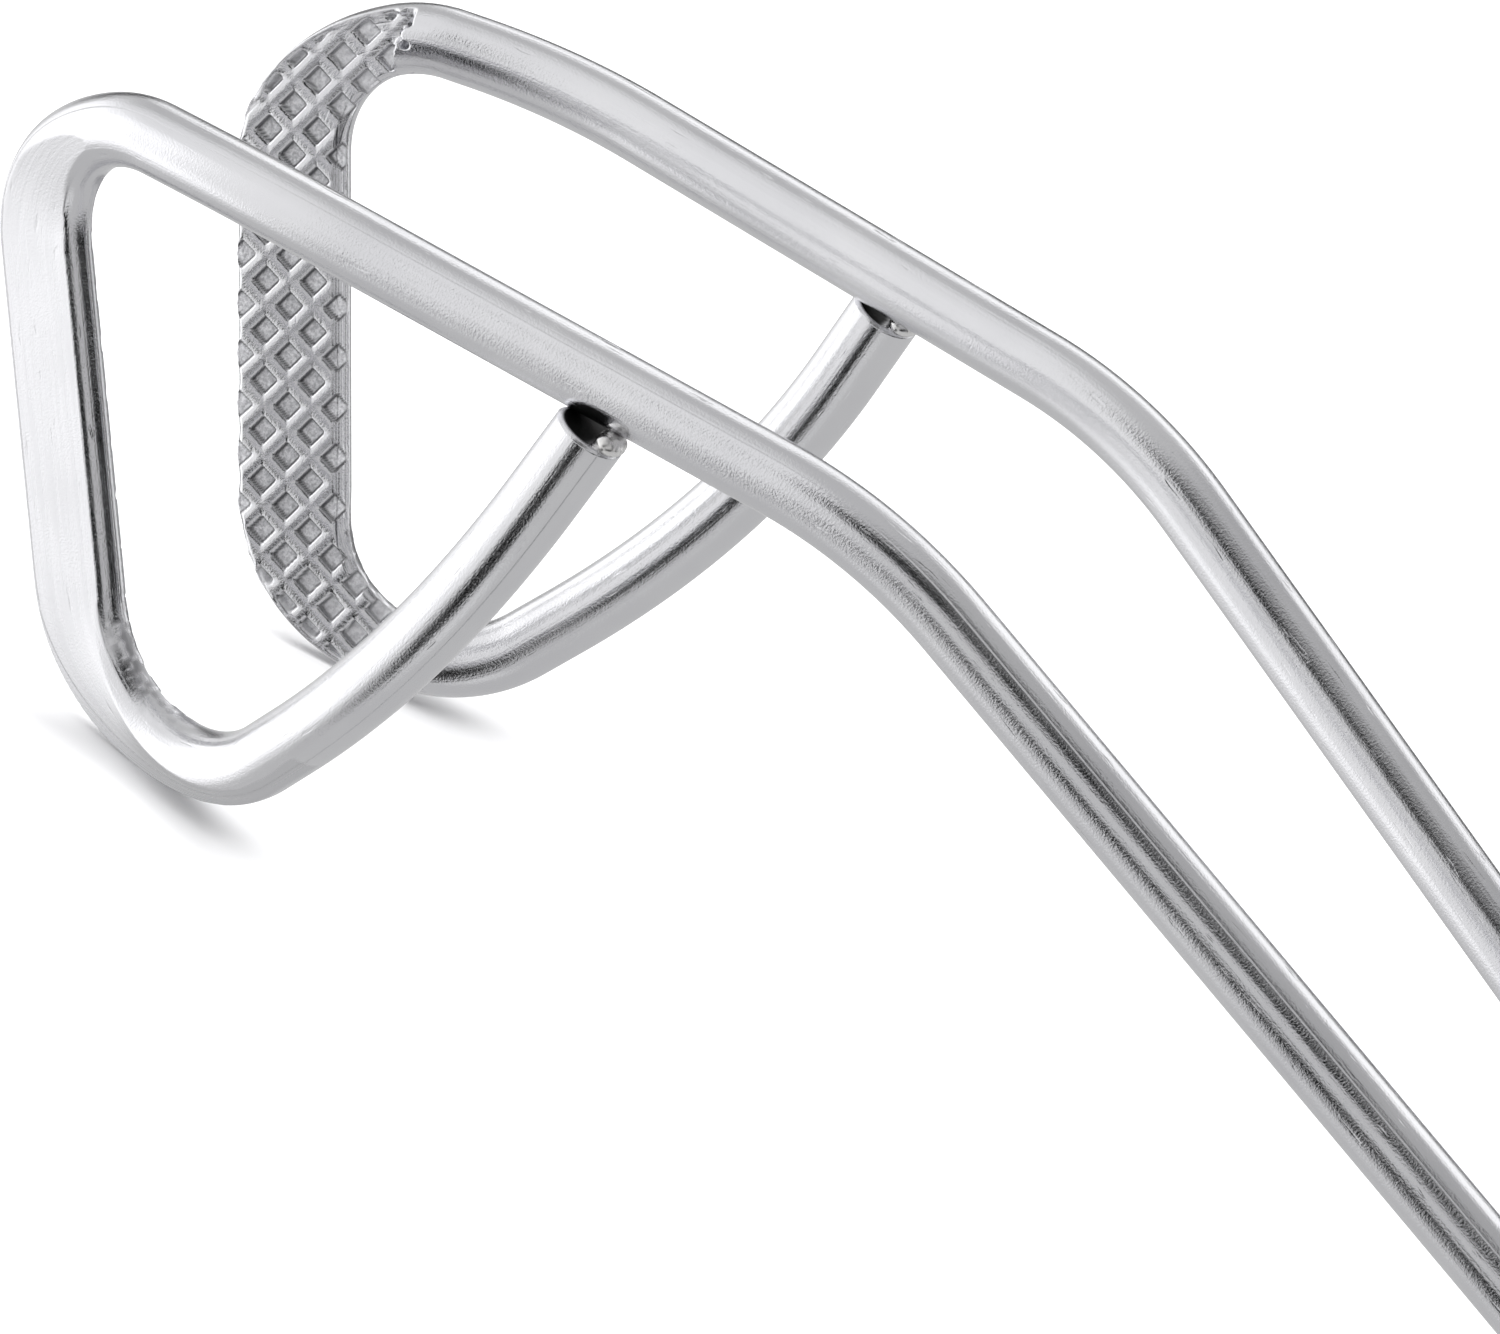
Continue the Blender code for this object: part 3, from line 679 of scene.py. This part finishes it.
def feed(tree, socket, value):
    """Give a socket a number, a colour or another node's result."""
    if isinstance(value, (int, float)):
        socket.default_value = value
    elif isinstance(value, tuple):
        socket.default_value = (*value, 1.0)
    else:
        tree.links.new(value, socket)


def math_node(tree, operation, *values):
    made = node(tree, "ShaderNodeMath", operation=operation)
    for socket, value in zip(made.inputs, values):
        feed(tree, socket, value)
    return made.outputs[0]


def times(tree, first, second):
    return math_node(tree, "MULTIPLY", first, second)


def total(tree, first, *others):
    for value in others:
        first = math_node(tree, "ADD", first, value)
    return first


def combine(tree, *values):
    made = node(tree, "ShaderNodeCombineXYZ")
    for socket, value in zip(made.inputs, values):
        feed(tree, socket, value)
    return made.outputs[0]


def attribute(tree, name):
    return node(tree, "ShaderNodeAttribute", attribute_name=name).outputs["Fac"]


def object_place(tree):
    return node(tree, "ShaderNodeTexCoord").outputs["Object"]


def noise(tree, vector, scale, detail=3.0, rough=0.55):
    made = node(tree, "ShaderNodeTexNoise", Scale=scale, Detail=detail, Roughness=rough)
    tree.links.new(vector, made.inputs["Vector"])
    return made.outputs["Fac"]


def spread(tree, value, low, high, from_low=0.3, from_high=0.7):
    made = node(tree, "ShaderNodeMapRange")
    made.inputs["From Min"].default_value = from_low
    made.inputs["From Max"].default_value = from_high
    made.inputs["To Min"].default_value = low
    made.inputs["To Max"].default_value = high
    tree.links.new(value, made.inputs["Value"])
    return made.outputs["Result"]


def mix_colour(tree, factor, first, second):
    made = node(tree, "ShaderNodeMix", data_type="RGBA")
    tree.links.new(factor, made.inputs[0])
    feed(tree, made.inputs[6], first)
    feed(tree, made.inputs[7], second)
    return made.outputs[2]


def bumped(tree, shader, height, strength, distance):
    bump = node(tree, "ShaderNodeBump", Strength=strength, Distance=distance)
    tree.links.new(height, bump.inputs["Height"])
    tree.links.new(bump.outputs[0], shader.inputs["Normal"])


def rod_steel():
    """Satin drawn stainless: lengthwise drawing marks, fine grain, rougher pits and a sawn end,
    with painted shade on the pit walls and over the strut end.
    """
    material, tree, shader = new_material("satin_stainless_detail")
    along, around = attribute(tree, "along"), attribute(tree, "around")
    pit, painted_wall_shade, sawn_end_and_painted_shade, scuff, flat = (
        attribute(tree, name) for name in ("pit", "painted_wall_shade", "sawn_end_and_painted_shade", "scuff", "flat_back"))
    place = object_place(tree)

    def drawn_noise(along_scale, around_scale, layer, detail, rough):
        """Noise stretched along the rod, by its scales per metre along the rod and around it."""
        stretched = combine(tree, times(tree, along, along_scale),
                            times(tree, around, around_scale), layer)
        return noise(tree, stretched, 1.0, detail, rough)

    drawn = drawn_noise(60.0, 2600.0, 0.0, 4.0, 0.6)
    bands = drawn_noise(9.0, 700.0, 2.0, 2.0, 0.5)
    nicks = drawn_noise(170.0, 1100.0, 4.0, 2.0, 0.5)
    sawn = drawn_noise(1.0, 900.0, 0.0, 3.0, 0.55)
    grain = noise(tree, place, 3900.0, 2.0, 0.6)
    broad = noise(tree, place, 110.0, 3.0, 0.5)
    smudge = noise(tree, place, 38.0, 4.0, 0.6)
    blasted = noise(tree, place, 2400.0, 3.0, 0.7)
    pitted = noise(tree, place, 1700.0, 4.0, 0.7)

    rough = total(tree, spread(tree, broad, 0.11, 0.17), spread(tree, bands, -0.03, 0.06),
                  spread(tree, drawn, -0.03, 0.05), spread(tree, smudge, -0.02, 0.04),
                  times(tree, pit, 0.40), times(tree, scuff, 0.20), times(tree, flat, 0.10),
                  times(tree, sawn_end_and_painted_shade, 0.30))
    tree.links.new(rough, shader.inputs["Roughness"])

    colour = mix_colour(tree, spread(tree, smudge, 0.0, 1.0),
                        (0.71, 0.71, 0.735), (0.79, 0.79, 0.81))
    mottle = mix_colour(tree, spread(tree, blasted, 0.0, 1.0, 0.38, 0.62),
                        (0.50, 0.50, 0.52), (0.90, 0.90, 0.92))
    # the near-black coat on the pit walls is painted shade
    for share, coat in ((pit, mottle), (times(tree, scuff, 0.7), (0.25, 0.25, 0.26)),
                        (flat, (0.69, 0.69, 0.71)), (painted_wall_shade, (0.10, 0.10, 0.105)),
                        # the black coat on the strut end is painted shade, left off its lower side
                        (sawn_end_and_painted_shade, (0.02, 0.02, 0.02))):
        colour = mix_colour(tree, share, colour, coat)
    tree.links.new(colour, shader.inputs["Base Color"])
    tree.links.new(math_node(tree, "MULTIPLY_ADD", pit, -0.6, 1.0), shader.inputs["Metallic"])

    height = total(tree, times(tree, drawn, 0.7), times(tree, bands, 1.6), times(tree, grain, 0.9))
    height = math_node(tree, "SUBTRACT", height, spread(tree, nicks, 0.0, 1.2, 0.66, 0.76))
    height = total(tree, height, times(tree, times(tree, pitted, pit), 6.0),
                   times(tree, sawn, sawn_end_and_painted_shade))
    bumped(tree, shader, height, 0.55, 0.00006)
    return material


def turned_steel():
    """Turned stainless: rings round the hinge axis and light wear."""
    material, tree, shader = new_material("turned_stainless_detail")
    place = object_place(tree)
    away = node(tree, "ShaderNodeVectorMath", operation="LENGTH")
    tree.links.new(place, away.inputs[0])
    outward = times(tree, away.outputs["Value"], 5200.0)
    rings = noise(tree, combine(tree, outward, 0.0, 0.0), 1.0, 2.0)
    worn = noise(tree, place, 320.0, 4.0, 0.6)
    rough = total(tree, spread(tree, worn, 0.20, 0.34), spread(tree, rings, -0.03, 0.04))
    tree.links.new(rough, shader.inputs["Roughness"])
    colour = mix_colour(tree, spread(tree, worn, 0.0, 1.0), (0.60, 0.60, 0.62), (0.72, 0.72, 0.74))
    tree.links.new(colour, shader.inputs["Base Color"])
    height = total(tree, times(tree, rings, 0.7), times(tree, worn, 0.5))
    bumped(tree, shader, height, 0.4, 0.00004)
    return material


def plain_steel(name, tone, tones, roughness, relief, bump):
    """Metal with one noise for its tone and roughness and another for its relief.

    Both noises are (scale, detail), and the bump is (strength, distance).
    """
    material, tree, shader = new_material(name)
    place = object_place(tree)
    worn = noise(tree, place, *tone, 0.6)
    colour = mix_colour(tree, spread(tree, worn, 0.0, 1.0), *tones)
    tree.links.new(colour, shader.inputs["Base Color"])
    tree.links.new(spread(tree, worn, *roughness), shader.inputs["Roughness"])
    bumped(tree, shader, noise(tree, place, *relief, 0.6), *bump)
    return material


def weld_steel():
    """Weld metal: bright silver with a faint straw tint."""
    return plain_steel("weld_bead_detail", (420.0, 3.0), ((0.82, 0.82, 0.83), (0.84, 0.83, 0.81)),
                       (0.20, 0.34), (1800.0, 3.0), (0.5, 0.00006))


def wire_steel():
    """Drawn spring wire: fine marks and a darker drawing film."""
    return plain_steel("spring_wire_detail", (500.0, 4.0), ((0.44, 0.44, 0.46), (0.58, 0.58, 0.60)),
                       (0.22, 0.36), (3000.0, 3.0), (0.3, 0.00003))


# ---------------------------------------------------------------- small parts

def add_mesh(name, mesh, material, matrix=None):
    mesh.name = name
    mesh.materials.clear()
    mesh.materials.append(material)
    mesh.shade_smooth()
    mesh.set_sharp_from_angle(angle=math.radians(40))
    if matrix is not None:
        mesh.transform(matrix)
    return link(name, mesh)


def lathe(profile, segments=96, closed=False):
    """A mesh turned about Z from (radius, height) points that run down the outer side."""
    body = bmesh.new()
    points = [body.verts.new((r, 0.0, h)) for r, h in profile]
    pairs = list(zip(points, points[1:])) + ([(points[-1], points[0])] if closed else [])
    edges = [body.edges.new(pair) for pair in pairs]
    bmesh.ops.spin(body, geom=points + edges, cent=(0, 0, 0), axis=(0, 0, 1), angle=TAU,
                   steps=segments, use_merge=True)
    bmesh.ops.remove_doubles(body, verts=body.verts, dist=1e-6)
    bmesh.ops.recalc_face_normals(body, faces=body.faces)
    return new_mesh("turned", body)


def rounded_ring(inner, outer, low, high, radius):
    """Profile of a washer with rounded edges."""
    profile = []
    corners = ((outer - radius, high - radius, 90), (outer - radius, low + radius, 0),
               (inner + radius, low + radius, -90), (inner + radius, high - radius, -180))
    for cx, cz, start in corners:
        for i in range(5):
            angle = math.radians(start - 22.5 * i)
            profile.append((cx + radius * math.cos(angle), cz + radius * math.sin(angle)))
    return profile


def build_rivet(material, steps=16):
    """Shank with a smooth domed head and a hammered one."""
    seat = EYE_GAP / 2 + EYE_THICKNESS + WASHER_THICKNESS + 2 * SMALLEST_GAP
    profile = []
    for i in range(steps + 1):
        angle = math.pi / 2 * (1 - i / steps)
        profile.append((RIVET_HEAD_RADIUS * math.cos(angle),
                        seat + RIVET_HEAD_HEIGHT * math.sin(angle)))
    profile += [(RIVET_HEAD_RADIUS - RIVET_HEAD_EDGE, seat), (RIVET_RADIUS + RIVET_FILLET, seat),
                (RIVET_RADIUS, seat - RIVET_FILLET)]
    profile += [(r, -h) for r, h in reversed(profile)]
    mesh = lathe(profile)
    co = coordinates(mesh)
    top = co[:, 2] > seat + HAMMERED_ABOVE
    dent = lattice_noise(co, DENT_CELL, 31)
    co[:, 2] -= np.where(top, DENT_DEPTH * (dent + 0.6), 0)
    mesh.vertices.foreach_set("co", co.ravel())
    mesh.update()
    return add_mesh("hinge_rivet_detail", mesh, material, hinge_frame())


def build_weld(name, side, material):
    """A rippled bead in the nook between the strut end and the arm, on the hinge side."""
    arm_run = unit(LEG_CORNER - ARM_CRANK)
    strut_run = unit(STRUT_END - STRUT_CORNER)
    in_nook = unit(arm_run - strut_run * (arm_run @ strut_run))
    place = STRUT_END + in_nook * BEAD_ASIDE + strut_run * BEAD_AHEAD
    long_way = unit(np.cross(in_nook, strut_run))
    body = bmesh.new()
    bmesh.ops.create_uvsphere(body, u_segments=48, v_segments=32, radius=BEAD_RADIUS)
    mesh = new_mesh(name, body)
    co = coordinates(mesh)
    co[:, 0] *= BEAD_HALF_LENGTH / BEAD_RADIUS
    bow = 4 * (co[:, 1] / BEAD_RADIUS) ** 2
    ripple = 1 + BEAD_RIPPLE * np.sin(co[:, 0] / BEAD_RIPPLE_PITCH * math.pi + bow)
    swell = 1 + BEAD_SWELL * lattice_noise(co, BEAD_SWELL_CELL, 41 + side)
    co[:, 1] *= ripple * swell * BEAD_FLATTEN
    co[:, 2] *= ripple * swell * BEAD_RAISE
    turned = np.stack([long_way, strut_run, np.cross(long_way, strut_run)], axis=1)
    co = co @ turned.T + place
    if side < 0:
        co[:, 0] *= -1
        mesh.flip_normals()
    mesh.vertices.foreach_set("co", in_row(co).ravel())
    mesh.update()
    return add_mesh(name, mesh, material)


def spring_leg(start, mirror):
    """From the coil's end down the neck and round a bend to the leg's tip."""
    neck, leg = (np.array((math.sin(turn), -math.cos(turn), 0.0)) * length for turn, length in (
        (NECK_SPREAD, NECK_LENGTH), (SPRING_LEG_SPREAD, SPRING_LEG_LENGTH)))
    near, far = start + neck * mirror, start + (neck + leg) * mirror
    bend = bend_points(start, near, far, SPRING_BEND, SPRING_BEND_STEP)
    line = start + (bend[0] - start) * np.linspace(0, 1, 14)[1:-1, None]
    outer = bend[-1] + (far - bend[-1]) * np.linspace(0, 1, 20)[1:, None]
    return np.concatenate([line, bend, outer])


def build_spring(material):
    """Coil round the sleeve, with a bent leg along the inner side of each rod."""
    turns = COIL_EXTRA_TURNS + 0.5 - NECK_SPREAD / math.pi
    part = np.arange(COIL_STEPS + 1) / COIL_STEPS
    angle = NECK_SPREAD + TAU * turns * part
    coil = np.stack([COIL_RADIUS * np.cos(angle), COIL_RADIUS * np.sin(angle),
                     COIL_PITCH * turns * (part - 0.5)], axis=1)
    points = np.concatenate([spring_leg(coil[0], np.ones(3))[::-1], coil,
                             spring_leg(coil[-1], np.array((-1, 1, 1)))])
    tangents = unit(np.gradient(points, axis=0))
    side_axis = np.array((0.0, 0.0, 1.0))
    first = unit(side_axis - tangents * (tangents @ side_axis)[:, None])
    second = np.cross(tangents, first)
    angles = (TAU * np.arange(WIRE_SIDES) / WIRE_SIDES)[:, None]
    spin = first[:, None] * np.cos(angles) + second[:, None] * np.sin(angles)
    verts = (points[:, None] + spin * WIRE_RADIUS).reshape(-1, 3)
    index, faces = tube_quads(len(points), WIRE_SIDES)
    faces += [index[0][::-1].tolist(), index[-1].tolist()]
    mesh = bpy.data.meshes.new("torsion_spring_detail")
    mesh.from_pydata(verts.tolist(), [], faces)
    body = bmesh.new()
    body.from_mesh(mesh)
    bmesh.ops.recalc_face_normals(body, faces=body.faces)
    body.to_mesh(mesh)
    body.free()
    return add_mesh("torsion_spring_detail", mesh, material, hinge_frame())


# ---------------------------------------------------------------- build the grip

steel, turned, weld, wire = rod_steel(), turned_steel(), weld_steel(), wire_steel()

for name, side, seed, body in (("left_rod", 1, 3, "left_half"),
                               ("right_rod", -1, 11, "right_half")):
    rod = make_rod(name + "_detail", side, seed, steel)
    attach(rod, body)
    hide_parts(name)

for name, side, body in (("left_strut_weld", 1, "left_half"),
                         ("right_strut_weld", -1, "right_half")):
    bead = build_weld(name + "_detail", side, weld)
    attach(bead, body)
    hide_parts(name)

rivet = build_rivet(turned)
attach(rivet, "left_half")
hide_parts("hinge_rivet")

washer_low = EYE_GAP / 2 + EYE_THICKNESS + SMALLEST_GAP
washer_high = washer_low + WASHER_THICKNESS
sleeve_end = EYE_GAP / 2 - SMALLEST_GAP
for name, outer, low, high, soften in (
        ("upper_washer", WASHER_RADIUS, washer_low, washer_high, WASHER_EDGE),
        ("lower_washer", WASHER_RADIUS, -washer_high, -washer_low, WASHER_EDGE),
        ("spacer_sleeve", SLEEVE_RADIUS, -sleeve_end, sleeve_end, SLEEVE_EDGE)):
    profile = rounded_ring(RIVET_HOLE_RADIUS, outer, low, high, soften)
    ring = add_mesh(name + "_detail", lathe(profile, closed=True), turned, hinge_frame())
    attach(ring, "left_half")
    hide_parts(name)

spring = build_spring(wire)
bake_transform(spring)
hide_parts("torsion_spring")


# ---------------------------------------------------------------- stage, light and camera

def stage_floor():
    body = bmesh.new()
    bmesh.ops.create_grid(body, x_segments=1, y_segments=1, size=FLOOR_SIZE)
    mesh = new_mesh("floor", body)
    floor = link("floor", mesh)
    material, _, shader = new_material("pale_floor")
    shader.inputs["Metallic"].default_value = 0.0
    shader.inputs["Base Color"].default_value = (0.93, 0.93, 0.94, 1.0)
    shader.inputs["Roughness"].default_value = 0.75
    mesh.materials.append(material)
    floor.visible_glossy = False     # the steel mirrors the studio's cards, not the floor


def floor_light():
    """A wide soft box overhead that lights the floor but isn't mirrored in the steel."""
    data = bpy.data.lights.new("floor_light", "AREA")
    data.shape = "RECTANGLE"
    data.size = data.size_y = FLOOR_LIGHT_SIZE
    data.energy = FLOOR_LIGHT_POWER
    lamp = link("floor_light", data)
    lamp.location = FLOOR_LIGHT_PLACE
    lamp.rotation_mode = "QUATERNION"
    aim = Vector(FLOOR_LIGHT_AIM) - Vector(FLOOR_LIGHT_PLACE)
    lamp.rotation_quaternion = aim.to_track_quat("-Z", "Y")
    lamp.visible_glossy = False


def card_mask(tree, offset, half, soft):
    """1 within half degrees of a card's middle, with an edge that is soft degrees wide."""
    edge = node(tree, "ShaderNodeMapRange", interpolation_type="SMOOTHSTEP")
    edge.inputs["From Min"].default_value = math.radians(half - soft / 2)
    edge.inputs["From Max"].default_value = math.radians(half + soft / 2)
    edge.inputs["To Min"].default_value, edge.inputs["To Max"].default_value = 1.0, 0.0
    tree.links.new(math_node(tree, "ABSOLUTE", offset), edge.inputs["Value"])
    return edge.outputs["Result"]


def studio_world():
    """A soft studio round the grip: a base tone and the cards over it."""
    world = bpy.data.worlds.new("studio")
    bpy.context.scene.world = world
    world.use_nodes = True
    tree = world.node_tree
    tree.nodes.clear()
    out = tree.nodes.new("ShaderNodeOutputWorld")
    back = tree.nodes.new("ShaderNodeBackground")
    tree.links.new(back.outputs[0], out.inputs[0])
    split = tree.nodes.new("ShaderNodeSeparateXYZ")
    tree.links.new(node(tree, "ShaderNodeTexCoord").outputs["Generated"], split.inputs[0])
    x, y, z = split.outputs
    height = math_node(tree, "ARCSINE", z)
    level = BASE_LEVEL
    for azimuth, half_width, elevation, half_height, soft, brightness in CARDS:
        turn = math.radians(azimuth)
        ahead = total(tree, times(tree, x, math.cos(turn)), times(tree, y, math.sin(turn)))
        aside = math_node(tree, "SUBTRACT", times(tree, y, math.cos(turn)),
                          times(tree, x, math.sin(turn)))
        off = math_node(tree, "ARCTAN2", aside, ahead)
        rise = math_node(tree, "SUBTRACT", height, math.radians(elevation))
        mask = times(tree, card_mask(tree, off, half_width, soft),
                     card_mask(tree, rise, half_height, soft))
        blend = node(tree, "ShaderNodeMix", data_type="FLOAT")
        feed(tree, blend.inputs[0], mask)
        feed(tree, blend.inputs[2], level)
        feed(tree, blend.inputs[3], brightness)
        level = blend.outputs[0]
    tree.links.new(level, back.inputs["Color"])
    back.inputs["Strength"].default_value = 1.0


def place_camera():
    """The camera, placed in the upright frame and carried along as the grip is tipped."""
    data = bpy.data.cameras.new("camera")
    data.sensor_width = SENSOR_WIDTH
    data.lens = CAMERA_LENS
    data.dof.use_dof = False
    data.clip_start, data.clip_end = 0.05, 30.0
    camera = link("camera", data)
    right, down = Vector(CAMERA_RIGHT).normalized(), Vector(CAMERA_DOWN)
    down = (down - right * down.dot(right)).normalized()
    ahead = right.cross(down)
    axes = Matrix((right, -down, -ahead)).transposed().to_4x4()
    camera.matrix_world = TO_ROW @ Matrix.Translation(Vector(CAMERA_PLACE)) @ axes
    bpy.context.scene.camera = camera


bpy.context.scene.view_settings.view_transform = "Standard"
stage_floor()
studio_world()
floor_light()
place_camera()
